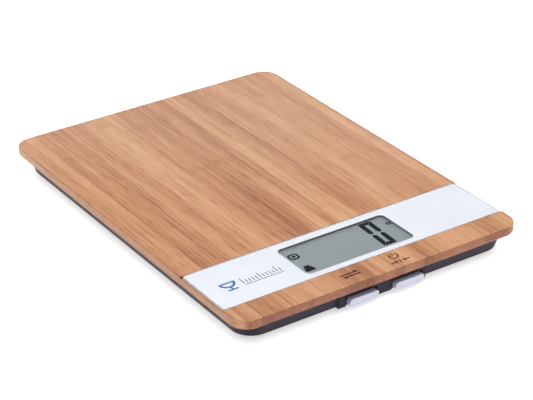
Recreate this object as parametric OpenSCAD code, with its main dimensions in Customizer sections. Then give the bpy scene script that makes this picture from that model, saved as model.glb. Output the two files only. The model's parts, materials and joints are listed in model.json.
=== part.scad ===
// Slim kitchen scale: a bamboo weighing board with a display strip, screwed down on a dark
// electronics tray that stands on four load cells, each with its own foot.
// Frame: X across the board, Y from the button side (front, -Y) to the back, Z up.
// The origin is on the table, under the middle of the board. Lengths are in millimetres.

/* [Board] */
// Width of the weighing board, along X
board_w = 165; // [150:1:200]
// Length of the weighing board, along Y
board_l = 226; // [205:1:275]
// Thickness of the weighing board
board_t = 5; // [4.6:0.1:8]
// Radius of the board's corners, seen from above
board_corner_r = 9.5; // [6:0.5:13]
// Radius of the board's softened edges
board_edge_r = 0.8; // [0.3:0.1:1.2]

/* [Display strip] */
// Width of the bamboo strip left in front of the display strip
front_strip = 15.2; // [13:0.2:20]
// Size of the display strip along Y
panel_l = 37; // [36:0.5:44]
// Thickness of the clear display strip, which is let in flush
panel_t = 1; // [0.8:0.1:1.4]
// Thickness of the white film under the clear strip
film_t = 0.3; // [0.2:0.05:0.4]
// Distance of each end of the strip from the board's side
panel_end_gap = 1; // [0.6:0.1:2]
// Radius of the strip's corners
panel_corner_r = 1.6; // [0.8:0.1:3]
// Size of the film's window along X
window_w = 63.6; // [50:0.2:64]
// Size of the film's window along Y
window_l = 27.8; // [20:0.2:28]
// Radius of the window's corners
window_r = 3; // [1:0.1:5]
// Distance of the window's middle in front of the strip's middle
window_shift = 0.15; // [0:0.05:1.2]

/* [Display] */
// Gap between the film and the display's front glass
glass_gap = 0.8; // [0.6:0.1:1.2]
// Size of the display's front glass along X
glass_w = 66.2; // [64:0.2:70]
// Size of the display's front glass along Y
glass_l = 32; // [30:0.2:33]
// Thickness of each of the display's two glasses
glass_t = 1; // [0.7:0.1:1.1]
// Width of the front glass's contact edge, which the rear glass leaves free
contact_edge = 3.4; // [2.5:0.1:5]
// Thickness of the frame's walls around the glasses
frame_wall = 0.6; // [0.4:0.1:0.8]
// Length of the rubber contact strip between the glass and the circuit board
zebra_h = 5.5; // [4:0.1:5.6]
// Width of the rubber contact strip
zebra_w = 2.4; // [1.5:0.1:3]

/* [Circuit board] */
// Size of the circuit board along X
pcb_w = 84; // [78:1:90]
// Size of the circuit board along Y
pcb_l = 41.4; // [40:0.2:44]
// Thickness of the circuit board
pcb_t = 1.2; // [0.8:0.1:1.6]

/* [Tray] */
// Height of the dark tray under the board
tray_h = 9; // [8.5:0.1:14]
// Height of the tray above the table
ground_gap = 3; // [2:0.1:5]
// Distance of the tray's upper edge from the board's side
tray_inset = 2.8; // [1.5:0.1:5]
// How far the tray's walls lean in from top to bottom
wall_lean = 3.1; // [1:0.1:4]
// Thickness of the tray's walls
wall_t = 1.8; // [1.5:0.1:2.5]
// Thickness of the tray's floor
floor_t = 2; // [1.8:0.1:3]
// Radius of the tray's corners at the upper edge
tray_corner_r = 14; // [10:0.5:18]

/* [Buttons] */
// Width of the raised block that holds the buttons
boss_w = 51.5; // [48:0.5:60]
// Distance between the two buttons
button_pitch = 26.9; // [22:0.1:29]
// Distance of the middle of the buttons from the middle of the board
button_shift = 1.25; // [-2:0.05:2]
// Width of a button
button_w = 16.8; // [12:0.2:18]
// Height of a button
button_h = 4.4; // [3.5:0.1:4.6]
// How far a button stands in front of the tray's upper edge
button_reach = 2.1; // [1.5:0.1:2.4]
// How far a button goes in
button_travel = 0.6; // [0.3:0.05:0.7]
// Radius of a button's corners
button_r = 1.7; // [0.5:0.1:2]

/* [Battery] */
// Diameter of the coin cell
cell_d = 20; // [16:0.1:20]
// Thickness of the coin cell
cell_t = 3.2; // [1.6:0.1:3.2]
// Width of the battery door
door_w = 27; // [24:0.5:34]
// Thickness of the battery door
door_t = 1.6; // [1.2:0.1:1.8]
// How far the battery door slides out
door_travel = 26; // [20:0.5:26]

/* [Feet and load cells] */
// Distance of a foot's middle from the board's side
foot_side = 23.5; // [22:0.5:32]
// Distance of a foot's middle from the board's front or back
foot_end = 25; // [22:0.5:32]
// Diameter of a foot's plastic cup
cup_d = 21; // [16:0.2:21]
// Diameter of a foot's rubber pad
pad_d = 17; // [10:0.2:18]
// Side of a load cell's square plate
plate_side = 26; // [25:0.2:28]
// Thickness of a load cell's plate
plate_t = 1.6; // [1.2:0.1:2]
// Width of a load cell's middle tongue
tongue_w = 10; // [7:0.2:12]
// Diameter of the stake that joins a foot to its load cell
stake_d = 3; // [2:0.1:4]

/* [Screws and wires] */
// Diameter of the screws that hold the tray to the board
screw_d = 2.4; // [2:0.1:3]
// Depth that these screws reach into the board
screw_grip = 3.2; // [2.5:0.1:3.6]
// Diameter of the screws that hold the circuit board
pcb_screw_d = 1.7; // [1.4:0.1:2.2]
// Diameter of one wire, with its insulation
wire_d = 0.9; // [0.6:0.05:1]
// Distance between neighbouring wires
wire_pitch = 1; // [1:0.05:1.3]

/* [Fits] */
// Gap around a piece that is laid or let into another
seat_gap = 0.1; // [0.05:0.05:0.2]
// Gap between pieces that slide past each other
slide_gap = 0.2; // [0.15:0.05:0.3]
// Gap around a foot in the tray's floor
foot_gap = 0.6; // [0.4:0.1:0.75]
// Radial gap around a screw in a pilot hole
thread_gap = 0.02; // [0.01:0.01:0.04]

/* [Hidden] */
$fn = 64;

cut = 1; // how far a cutting shape runs past the face that it cuts

// Levels
tray_top = ground_gap + tray_h;
total_h = tray_top + board_t;
floor_top = ground_gap + floor_t;
film_z = total_h - panel_t - film_t;
front_glass_z = film_z - glass_gap - glass_t;
rear_glass_z = front_glass_z - glass_t;
pcb_top = front_glass_z - zebra_h;
pcb_z = pcb_top - pcb_t;

// Display strip and window
panel_y = -board_l / 2 + front_strip + panel_l / 2;
window_y = panel_y - window_shift;
panel_w = board_w - 2 * panel_end_gap;
frame_gap = 0.2;
frame_w = glass_w + 2 * seat_gap + 2 * frame_wall;
frame_l = glass_l + 2 * seat_gap + 2 * frame_wall;
opening_w = frame_w + 2 * frame_gap;
opening_l = frame_l + 2 * frame_gap;
rear_glass_l = glass_l - contact_edge;
rear_glass_y = panel_y + contact_edge / 2;
zebra_y = panel_y - glass_l / 2 + contact_edge / 2;
zebra_len = glass_w - 4;
ledge_w = 1.5;

// Tray
tray_w = board_w - 2 * tray_inset;
tray_l = board_l - 2 * tray_inset;
lean_slope = wall_lean / tray_h;
tray_bottom_r = tray_corner_r - wall_lean;
tray_bottom_w = tray_w - 2 * wall_lean;
tray_bottom_l = tray_l - 2 * wall_lean;
tray_foot_chamfer = 0.5;

// Circuit board, its front edge behind the buttons
frame_pcb_gap = 1.6; // bare edge of the circuit board behind the display's frame
pcb_back_y = panel_y + frame_l / 2 + frame_pcb_gap;
pcb_y = pcb_back_y - pcb_l / 2;
pcb_front_y = pcb_back_y - pcb_l;
pcb_post_x = pcb_w / 2 - 4;
pcb_post_y = pcb_l / 2 - 4.2;
pcb_post_d = 5;
pcb_head_d = 3.4;
pcb_head_h = 1.3;

// Buttons
front_y = -tray_l / 2;
boss_lean = 1.3;
boss_x = 0.25;
button_x = [button_shift - button_pitch / 2, button_shift + button_pitch / 2];
button_top = ground_gap + 0.6 + button_h;
button_z = button_top - button_h;
button_face_lean = 0.9;
pocket_gap = 0.4;
pocket_y = front_y + 2.2;
button_back_y = pocket_y - slide_gap - button_travel;
wall_back_y = pocket_y + 2;
stem_w = 10;
stem_z = floor_top + 0.4;
stem_h = 1.8;
barb_w = stem_w + 4;
barb_t = 1;
barb_y = wall_back_y + seat_gap;
switch_w = 4.6;
switch_l = 3.2;
switch_h = pcb_z - floor_top - seat_gap;
switch_y = pcb_front_y;
plunger_w = 2.2;
plunger_h = 1;
plunger_z = stem_z + stem_h / 2 - plunger_h / 2;
plunger_reach = 1;
plunger_depth = 1.2;

// Battery bay at the back edge
back_y = tray_bottom_l / 2;
door_gap_z = 0.15;
tongue_reach = 1.2;
tongue_t = 0.8;
door_len = cell_d + 9.4;
door_back_y = back_y - seat_gap;
door_front_y = door_back_y - door_len;
cell_y = door_front_y + cell_d / 2 + 2.5;
cell_z = ground_gap + door_t + seat_gap;
well_d = cell_d + 0.8;
well_top = cell_z + cell_t + 0.5;
bay_w = door_w + 7;
bay_top = well_top + 1.4;
bay_front_y = door_front_y - 2;
contact_t = 0.3;
tab_x = 3.5;
tab_w = 2.2;
tab_reach = 2;
strip_w = 3;
strip_slot = 1.2;
finger_w = 1.6;
contact_z = well_top - contact_t;

// Feet and load cells
foot_x = board_w / 2 - foot_side;
foot_y = board_l / 2 - foot_end;
cup_z = 1.6;
cup_top = ground_gap + 1.2;
plate_z = floor_top + 1.6;
plate_top = plate_z + plate_t;
pad_seat = 0.6;
stem_d = 9;
stake_head_d = 5;
stake_head_h = 0.7;
collar_side = plate_side + 4;
slot_w = 1.5;
clip_w = 2.4;
clip_t = 1;
gauge_t = 0.3;

// Screws between tray and board: [x, y]
post_x = board_w / 2 - 16.5;
post_y = foot_y - plate_side / 2 - 13;
post_back_x = bay_w / 2 + 12.5;
post_back_y = board_l / 2 - 15;
posts = [
  [-post_x, -post_y], [post_x, -post_y], [-post_x, 0], [post_x, 0],
  [-post_x, post_y], [post_x, post_y], [-post_back_x, post_back_y], [post_back_x, post_back_y]
];
post_d = 7;
head_d = 4.4;
head_h = 1.5;
head_z = ground_gap + 3;
head_bore_d = 5;

// Wires lie on the circuit board and on the ribs, above the load cells
wire_z = max(pcb_top, plate_top) + wire_d / 2;
rib_top = wire_z - wire_d / 2 - 0.05;
rib_t = 1.2;
wire_bend = 3;
wire_run_x = pcb_w / 2 - 4;
wire_end = 2;

// Rectangle with round corners, centred
module rounded_rect(w, l, r) {
  square([w - 2 * r, l], center = true);
  square([w, l - 2 * r], center = true);
  for (x = [-1, 1], y = [-1, 1])
    translate([x * (w / 2 - r), y * (l / 2 - r)]) circle(r);
}

// Sweeps a profile round a rounded rectangle. The profile's x counts outwards from the
// corner's middle, and its y is the height.
module swept_rim(w, l, r) {
  for (side = [0:3]) {
    a = side % 2 == 0 ? w : l;
    b = side % 2 == 0 ? l : w;
    rotate([0, 0, 90 * side]) translate([a / 2 - r, b / 2 - r, 0]) {
      rotate_extrude(angle = 90) children();
      rotate([90, 0, 0]) linear_extrude(b - 2 * r) children();
    }
  }
}

// A box by its middle in x and y and its lowest z
module block(x, y, z, w, l, h) {
  translate([x - w / 2, y - l / 2, z]) cube([w, l, h]);
}

// A box between two y positions
module block_y(x, y0, y1, z, w, h) {
  translate([x - w / 2, y0, z]) cube([w, y1 - y0, h]);
}

// ---- Board and display ----

module bamboo_board() {
  color("burlywood") difference() {
    union() {
      swept_rim(board_w, board_l, board_corner_r) board_edge();
      block(0, 0, tray_top, board_w - 2 * board_corner_r, board_l - 2 * board_corner_r, board_t);
    }
    block(0, panel_y, film_z, board_w + 2 * cut, panel_l + 2 * seat_gap, panel_t + film_t + cut);
    block(0, panel_y, tray_top - cut, opening_w, opening_l, board_t + 2 * cut);
    for (p = posts)
      translate([p[0], p[1], tray_top - cut]) cylinder(d = screw_d + 2 * thread_gap,
        h = screw_grip + seat_gap + cut);
  }
}

module board_edge() {
  translate([0, tray_top]) {
    square([board_corner_r - board_edge_r, board_t]);
    translate([0, board_edge_r]) square([board_corner_r, board_t - 2 * board_edge_r]);
    for (z = [board_edge_r, board_t - board_edge_r])
      translate([board_corner_r - board_edge_r, z]) circle(board_edge_r);
  }
}

module clear_strip() {
  color("lightcyan", 0.4) translate([0, panel_y, film_z + film_t]) linear_extrude(panel_t)
    rounded_rect(panel_w, panel_l, panel_corner_r);
}

module window_film() {
  color("whitesmoke") translate([0, 0, film_z]) linear_extrude(film_t) difference() {
    translate([0, panel_y]) rounded_rect(panel_w, panel_l, panel_corner_r);
    translate([0, window_y]) rounded_rect(window_w, window_l, window_r);
  }
}

module lcd_front_glass() {
  color("darkseagreen") block(0, panel_y, front_glass_z, glass_w, glass_l, glass_t);
}

module lcd_rear_glass() {
  color("darkslategray") block(0, rear_glass_y, rear_glass_z, glass_w, rear_glass_l, glass_t);
}

module lcd_frame() {
  color("dimgray") difference() {
    block(0, panel_y, pcb_top, frame_w, frame_l, film_z - pcb_top);
    block(0, panel_y, rear_glass_z, glass_w + 2 * seat_gap, glass_l + 2 * seat_gap,
      film_z - rear_glass_z + cut);
    block(0, panel_y, pcb_top - cut, glass_w - 2 * ledge_w, glass_l + 2 * seat_gap,
      film_z - pcb_top + cut);
  }
}

module zebra_strip() {
  color("black") block(0, zebra_y, pcb_top, zebra_len, zebra_w, zebra_h);
}

// ---- Electronics ----

module at_pcb_posts() {
  for (x = [-1, 1], y = [-1, 1]) translate([x * pcb_post_x, pcb_y + y * pcb_post_y, 0]) children();
}

module control_board() {
  color("seagreen") difference() {
    block(0, pcb_y, pcb_z, pcb_w, pcb_l, pcb_t);
    at_pcb_posts() translate([0, 0, pcb_z - cut]) cylinder(d = pcb_screw_d + 0.5, h = pcb_t + 2 * cut);
  }
}

module controller_chip() {
  body = 9;
  lead = 1;
  lead_w = 0.35;
  lead_pitch = 0.8;
  chip_y = panel_y + 3;
  color("black") {
    block(-10, chip_y, pcb_top + 0.1, body, body, 1.3);
    for (side = [-1, 1], i = [-4:4]) {
      block(-10 + side * (body + lead) / 2, chip_y + i * lead_pitch, pcb_top, lead, lead_w, 0.6);
      block(-10 + i * lead_pitch, chip_y + side * (body + lead) / 2, pcb_top, lead_w, lead, 0.6);
    }
  }
}

module filter_capacitors() {
  color("slategray") for (i = [0:2])
    translate([12 + 6 * i, panel_y + 4, pcb_top]) cylinder(d = 4, h = 3.4);
}

module control_board_screws() {
  color("silver") at_pcb_posts() {
    translate([0, 0, pcb_top]) cylinder(d = pcb_head_d, h = pcb_head_h);
    translate([0, 0, floor_top + 0.3]) cylinder(d = pcb_screw_d, h = pcb_top - floor_top);
  }
}

// Side-pushed switch under the front edge of the circuit board
module side_switch(x) {
  y1 = switch_y + switch_l;
  color("gray") difference() {
    block_y(x, switch_y, y1, pcb_z - switch_h, switch_w, switch_h);
    block_y(x, switch_y - cut, y1 - 0.5, plunger_z - seat_gap, plunger_w + 2 * seat_gap,
      plunger_h + 2 * seat_gap);
  }
}

module switch_plunger(x) {
  color("khaki") block_y(x, switch_y - plunger_reach, switch_y + plunger_depth, plunger_z,
    plunger_w, plunger_h);
}

// ---- Buttons ----

// Bar with a leaning face and round corners, a stem through the wall and a snap-in barb
module push_button(x) {
  face_y = front_y - button_reach;
  color("lightsteelblue") union() {
    intersection() {
      translate([x - button_w / 2, 0, 0]) rotate([90, 0, 90]) linear_extrude(button_w)
        polygon([[button_back_y, button_z], [face_y + button_face_lean, button_z],
          [face_y, button_top], [button_back_y, button_top]]);
      translate([x, 0, button_z + button_h / 2]) rotate([90, 0, 0])
        translate([0, 0, -button_back_y - cut]) linear_extrude(button_reach + pocket_y - front_y + 2 * cut)
          rounded_rect(button_w, button_h, button_r);
    }
    block_y(x, button_back_y - cut, switch_y - plunger_reach, stem_z, stem_w, stem_h);
    block_y(x, barb_y, barb_y + barb_t, stem_z, barb_w, stem_h);
  }
}

// ---- Tray ----

// The wall's outline: it leans in towards the table and ends in a small chamfer
module tray_wall() {
  r0 = tray_bottom_r;
  r1 = tray_corner_r;
  c = tray_foot_chamfer;
  polygon([
    [r0 - c, ground_gap], [r0 + c * lean_slope, ground_gap + c], [r1, tray_top],
    [r1 - wall_t, tray_top], [r0 - wall_t, ground_gap]
  ]);
}

module button_boss() {
  translate([boss_x - boss_w / 2, 0, 0]) rotate([90, 0, 90]) linear_extrude(boss_w)
    polygon([[front_y + boss_lean, ground_gap], [front_y, tray_top], [front_y + wall_t, tray_top],
      [wall_back_y + lean_slope, floor_top + stem_h + 1.8], [wall_back_y, floor_top + stem_h + 1.8],
      [wall_back_y, ground_gap]]);
}

module button_cuts(x) {
  w = button_w + 2 * pocket_gap;
  block_y(x, front_y - 2 * cut, pocket_y, ground_gap - cut, w, button_top + pocket_gap - ground_gap + cut);
  block_y(x, pocket_y - cut, wall_back_y + cut, stem_z - slide_gap, stem_w + 2 * slide_gap,
    stem_h + 2 * slide_gap);
}

module screw_posts() {
  for (p = posts) translate([p[0], p[1], floor_top - 0.5]) cylinder(d = post_d, h = tray_top - floor_top + 0.5);
  at_pcb_posts() translate([0, 0, floor_top - 0.5]) cylinder(d = pcb_post_d, h = pcb_z - floor_top + 0.5);
}

module screw_bores() {
  for (p = posts) translate([p[0], p[1], ground_gap - cut]) {
    cylinder(d = head_bore_d, h = head_z + head_h - ground_gap + cut);
    cylinder(d = screw_d + 0.5, h = tray_h + 2 * cut);
  }
  at_pcb_posts() translate([0, 0, floor_top + 0.2])
    cylinder(d = pcb_screw_d + 2 * thread_gap, h = pcb_z - floor_top + cut);
}

module at_feet() {
  for (x = [-1, 1], y = [-1, 1]) translate([x * foot_x, y * foot_y, 0]) children();
}

module ribs() {
  reach = tray_bottom_w - 2 * wall_t;
  h = rib_top - floor_top + 0.5;
  for (y = [-0.5, 0.5]) block(0, y * post_y, floor_top - 0.5, reach, rib_t, h);
  for (x = [-1, 1]) block(x * pcb_w * 0.32, 0, floor_top - 0.5, rib_t, post_y, h);
  block(0, 0, floor_top - 0.5, reach, rib_t, h);
}

module bay_cuts() {
  past = back_y + wall_lean + 2 * cut;
  top = ground_gap + door_t + door_gap_z;
  tongue_z = ground_gap + door_t - tongue_t;
  block_y(0, door_front_y - slide_gap, past, ground_gap - cut, door_w + 2 * slide_gap,
    top - ground_gap + cut);
  block_y(0, door_front_y - slide_gap, past, tongue_z - seat_gap,
    door_w + 2 * tongue_reach + 2 * slide_gap, top - tongue_z + seat_gap);
  translate([0, cell_y, ground_gap]) cylinder(d = well_d, h = well_top - ground_gap);
  block_y(-tab_x, cell_y - well_d / 2 - strip_slot, cell_y, top - cut, strip_w + 2 * seat_gap,
    well_top - top + cut);
  for (x = [-1, 1])
    block_y(x * tab_x, bay_front_y - cut, cell_y - cell_d / 2 + tab_reach, contact_z - seat_gap,
      tab_w + 2 * seat_gap, contact_t + 2 * seat_gap);
}

module base_shell() {
  color("#423c48") difference() {
    union() {
      swept_rim(tray_w, tray_l, tray_corner_r) tray_wall();
      translate([0, 0, ground_gap]) linear_extrude(floor_t)
        rounded_rect(tray_bottom_w - wall_t, tray_bottom_l - wall_t, tray_bottom_r - wall_t / 2);
      button_boss();
      screw_posts();
      ribs();
      at_feet() block(0, 0, floor_top - 0.5, collar_side, collar_side, plate_top - floor_top + 0.5);
      block_y(0, bay_front_y, back_y - wall_t / 2, floor_top - 0.5, bay_w, bay_top - floor_top + 0.5);
    }
    for (x = button_x) button_cuts(x);
    screw_bores();
    at_feet() {
      translate([0, 0, ground_gap - cut]) cylinder(d = cup_d + 2 * foot_gap, h = tray_h);
      block(0, 0, plate_z, plate_side + 2 * seat_gap, plate_side + 2 * seat_gap, tray_h);
    }
    bay_cuts();
  }
}

module housing_screws() {
  color("silver") for (p = posts) translate([p[0], p[1], head_z]) {
    cylinder(d = head_d, h = head_h);
    cylinder(d = screw_d, h = tray_top + screw_grip - head_z);
  }
}

// ---- Battery ----

module battery_door() {
  grip_y = door_back_y - 7;
  color("#39343f") difference() {
    union() {
      block_y(0, door_front_y, door_back_y, ground_gap, door_w, door_t);
      block_y(0, door_front_y, door_back_y, ground_gap + door_t - tongue_t, door_w + 2 * tongue_reach,
        tongue_t);
    }
    for (i = [0:3]) block(0, grip_y + 1.4 * i, ground_gap - cut, 12, 0.6, cut + 0.4);
  }
}

module coin_cell() {
  can = 2.4;
  color("gainsboro") translate([0, cell_y, cell_z]) {
    cylinder(d = cell_d, h = can);
    cylinder(d = cell_d - 3, h = cell_t);
  }
}

// Leaf on the roof of the well with a dimple on the cell, and a tab for its wire
module battery_contact_negative() {
  dimple_z = cell_z + cell_t;
  color("goldenrod") {
    translate([0, cell_y, contact_z]) cylinder(d = 12, h = contact_t);
    translate([0, cell_y, dimple_z]) cylinder(d = 3, h = well_top - dimple_z);
    block_y(tab_x, bay_front_y - tab_reach, cell_y - 3, contact_z, tab_w, contact_t);
  }
}

// Upright strip with a finger on the side of the cell, and a tab for its wire
module battery_contact_positive() {
  strip_y = cell_y - well_d / 2 - strip_slot + seat_gap;
  rim_x = tab_x - finger_w / 2;
  rim_y = cell_y - sqrt(cell_d * cell_d / 4 - rim_x * rim_x);
  bottom = cell_z + 0.2;
  color("goldenrod") {
    block_y(-tab_x, strip_y, rim_y, bottom, finger_w, 1.6);
    block_y(-tab_x, strip_y, strip_y + contact_t, bottom, strip_w, well_top - bottom);
    block_y(-tab_x, bay_front_y - tab_reach, strip_y + contact_t, contact_z, tab_w, contact_t);
  }
}

// Two wires from the contacts' tabs forward to the edge of the circuit board
module battery_wires() {
  y0 = bay_front_y - slide_gap;
  for (x = [-1, 1]) color(x > 0 ? "black" : "firebrick")
    translate([x * tab_x, y0, max(wire_z, well_top + wire_d / 2)]) rotate([90, 0, 0])
      cylinder(d = wire_d, h = y0 - pcb_back_y + frame_pcb_gap / 2);
}

// ---- Load cells and feet ----

// Square plate whose middle tongue carries the foot; the tongue's root is on the inner side
module load_cell(side_x, side_y) {
  arm = plate_side / 2 - 4;
  color("lightgray") translate([side_x * foot_x, side_y * foot_y, plate_z]) linear_extrude(plate_t)
    difference() {
      square(plate_side, center = true);
      for (y = [-1, 1]) translate([0, y * (tongue_w + slot_w) / 2]) square([2 * arm, slot_w], center = true);
      translate([side_x * (arm - slot_w / 2), 0]) square([slot_w, tongue_w + 2 * slot_w], center = true);
      circle(d = stake_d + 2 * seat_gap);
    }
}

module load_cell_clips() {
  color("dimgray") at_feet() for (y = [-1, 1])
    block(0, y * (collar_side - clip_w) / 2, plate_top, collar_side, clip_w, clip_t);
}

module strain_gauges() {
  color("forestgreen") for (x = [-1, 1], y = [-1, 1])
    block(x * (foot_x - plate_side / 2 + 6.5), y * foot_y, plate_top, 3.5, tongue_w - 3, gauge_t);
}

module foot_cup(side_x, side_y) {
  color("#423c48") translate([side_x * foot_x, side_y * foot_y, 0]) difference() {
    union() {
      translate([0, 0, cup_z]) cylinder(d = cup_d, h = cup_top - cup_z);
      translate([0, 0, cup_z]) cylinder(d = stem_d, h = plate_z - cup_z);
      translate([0, 0, cup_z]) cylinder(d = stake_d, h = plate_top - cup_z + 0.1);
      translate([0, 0, plate_top]) cylinder(d = stake_head_d, h = stake_head_h);
    }
    translate([0, 0, cup_z - cut]) cylinder(d = pad_d + 2 * seat_gap, h = pad_seat + cut);
  }
}

module foot_pad(side_x, side_y) {
  color("#2b2b2e") translate([side_x * foot_x, side_y * foot_y, 0]) difference() {
    cylinder(d = pad_d, h = cup_z + pad_seat);
    translate([0, 0, -cut]) cylinder(d = pad_d - 8, h = cut + 0.5);
  }
}

// Three wires from a load cell straight to the side of the circuit board
module front_sensor_wires(side_x) {
  start_x = foot_x - plate_side / 2 + 3;
  end_x = pcb_w / 2 - wire_end;
  for (i = [0:2]) color(["firebrick", "ivory", "black"][i])
    translate([side_x * start_x, -foot_y + 6 + i * wire_pitch, wire_z])
      rotate([0, -90 * side_x, 0]) cylinder(d = wire_d, h = start_x - end_x);
}

// Three wires from a load cell inwards, round a bend and forward to the circuit board
module back_sensor_wires(side_x) {
  start_x = foot_x - plate_side / 2 + 3;
  bend_y = foot_y - 6;
  for (i = [0:2]) {
    r = wire_bend + i * wire_pitch;
    y = bend_y + i * wire_pitch;
    x = wire_run_x - i * wire_pitch;
    color(["firebrick", "ivory", "black"][i]) union() {
      translate([side_x * start_x, y, wire_z]) rotate([0, -90 * side_x, 0])
        cylinder(d = wire_d, h = start_x - x - r);
      translate([side_x * (x + r), y - r, wire_z]) rotate([0, 0, side_x > 0 ? 90 : 0])
        rotate_extrude(angle = 90) translate([r, 0]) circle(d = wire_d);
      translate([side_x * x, y - r, wire_z]) rotate([90, 0, 0])
        cylinder(d = wire_d, h = y - r - pcb_back_y + wire_end);
    }
  }
}

bamboo_board();
clear_strip();
window_film();
lcd_front_glass();
lcd_rear_glass();
lcd_frame();
zebra_strip();
control_board();
controller_chip();
filter_capacitors();
side_switch(button_x[0]);  // mode_switch
side_switch(button_x[1]);  // zero_switch
switch_plunger(button_x[0]);  // mode_plunger
switch_plunger(button_x[1]);  // zero_plunger
push_button(button_x[0]);  // mode_button
push_button(button_x[1]);  // zero_button
base_shell();
housing_screws();
control_board_screws();
battery_door();
coin_cell();
battery_contact_negative();
battery_contact_positive();
battery_wires();
load_cell(-1, -1);  // load_cell_front_left
load_cell(1, -1);  // load_cell_front_right
load_cell(-1, 1);  // load_cell_back_left
load_cell(1, 1);  // load_cell_back_right
load_cell_clips();
strain_gauges();
front_sensor_wires(-1);  // sensor_wires_front_left
front_sensor_wires(1);  // sensor_wires_front_right
back_sensor_wires(-1);  // sensor_wires_back_left
back_sensor_wires(1);  // sensor_wires_back_right
foot_cup(-1, -1);  // foot_cup_front_left
foot_cup(1, -1);  // foot_cup_front_right
foot_cup(-1, 1);  // foot_cup_back_left
foot_cup(1, 1);  // foot_cup_back_right
foot_pad(-1, -1);  // foot_pad_front_left
foot_pad(1, -1);  // foot_pad_front_right
foot_pad(-1, 1);  // foot_pad_back_left
foot_pad(1, 1);  // foot_pad_back_right
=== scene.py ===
"""Looks of a slim kitchen scale: a bamboo weighing board with a display strip let into it,
on a dark tray with two front buttons, a battery door and four feet.

Sizes in the classes are in millimetres, but for the studio's, which says its own units. The
meshes are in metres, in the shared frame: X across the board, Y from the button side to the
back, Z up from the table.
"""

import json
import logging
import math
from dataclasses import dataclass
from enum import Enum
from typing import Callable, Iterable, Optional, Sequence, Union

import bmesh
import bpy
from bmesh.types import BMEdge, BMFace, BMVert
from mathutils import Matrix, Vector


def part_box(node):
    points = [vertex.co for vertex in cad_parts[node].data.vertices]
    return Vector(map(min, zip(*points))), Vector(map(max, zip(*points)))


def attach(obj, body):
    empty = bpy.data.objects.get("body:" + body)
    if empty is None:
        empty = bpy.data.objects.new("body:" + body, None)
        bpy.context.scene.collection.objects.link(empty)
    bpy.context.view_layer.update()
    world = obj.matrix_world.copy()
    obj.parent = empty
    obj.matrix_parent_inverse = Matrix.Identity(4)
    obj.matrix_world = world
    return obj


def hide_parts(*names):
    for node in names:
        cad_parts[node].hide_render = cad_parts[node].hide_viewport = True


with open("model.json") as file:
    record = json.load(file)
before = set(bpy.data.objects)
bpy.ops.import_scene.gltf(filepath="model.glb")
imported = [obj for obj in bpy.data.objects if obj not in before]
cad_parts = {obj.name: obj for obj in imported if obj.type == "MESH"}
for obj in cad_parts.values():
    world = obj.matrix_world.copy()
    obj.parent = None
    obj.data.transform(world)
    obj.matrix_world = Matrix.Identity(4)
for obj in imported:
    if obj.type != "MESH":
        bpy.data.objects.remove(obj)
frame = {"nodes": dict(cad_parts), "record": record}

LOG = logging.getLogger("kitchen_scale")
MM = 0.001
MM_PER_METRE = 1000.0
SHARP_ANGLE = math.radians(38)
NEAR = 0.01
KEYS = ("mode", "zero")
UNDERSIDE, BLOCK_BACK, BLOCK_REACH = 3.02, -107.8, 27.0

MADE: dict[str, bpy.types.Material] = {}

Colour = tuple[float, ...]
Socket = bpy.types.NodeSocket
Input = Union[Socket, float, Sequence[float]]
Inputs = dict[Union[int, str], Input]
Factors = Union[float, Sequence[float]]
EdgeTest = Callable[[BMEdge], bool]


def linear(red: float, green: float, blue: float) -> Colour:
    """Turns a colour as a screen shows it into the light that a shader works in.

    Args:
        red: Red, from 0 to 255.
        green: Green, from 0 to 255.
        blue: Blue, from 0 to 255.

    Returns:
        The colour in linear light, with full opacity.
    """
    def channel(level: float) -> float:
        """One channel in linear light."""
        share = level / 255
        return share / 12.92 if share <= 0.04045 else ((share + 0.055) / 1.055) ** 2.4

    return channel(red), channel(green), channel(blue), 1.0


# ---- Node trees -------------------------------------------------------------------------


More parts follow.
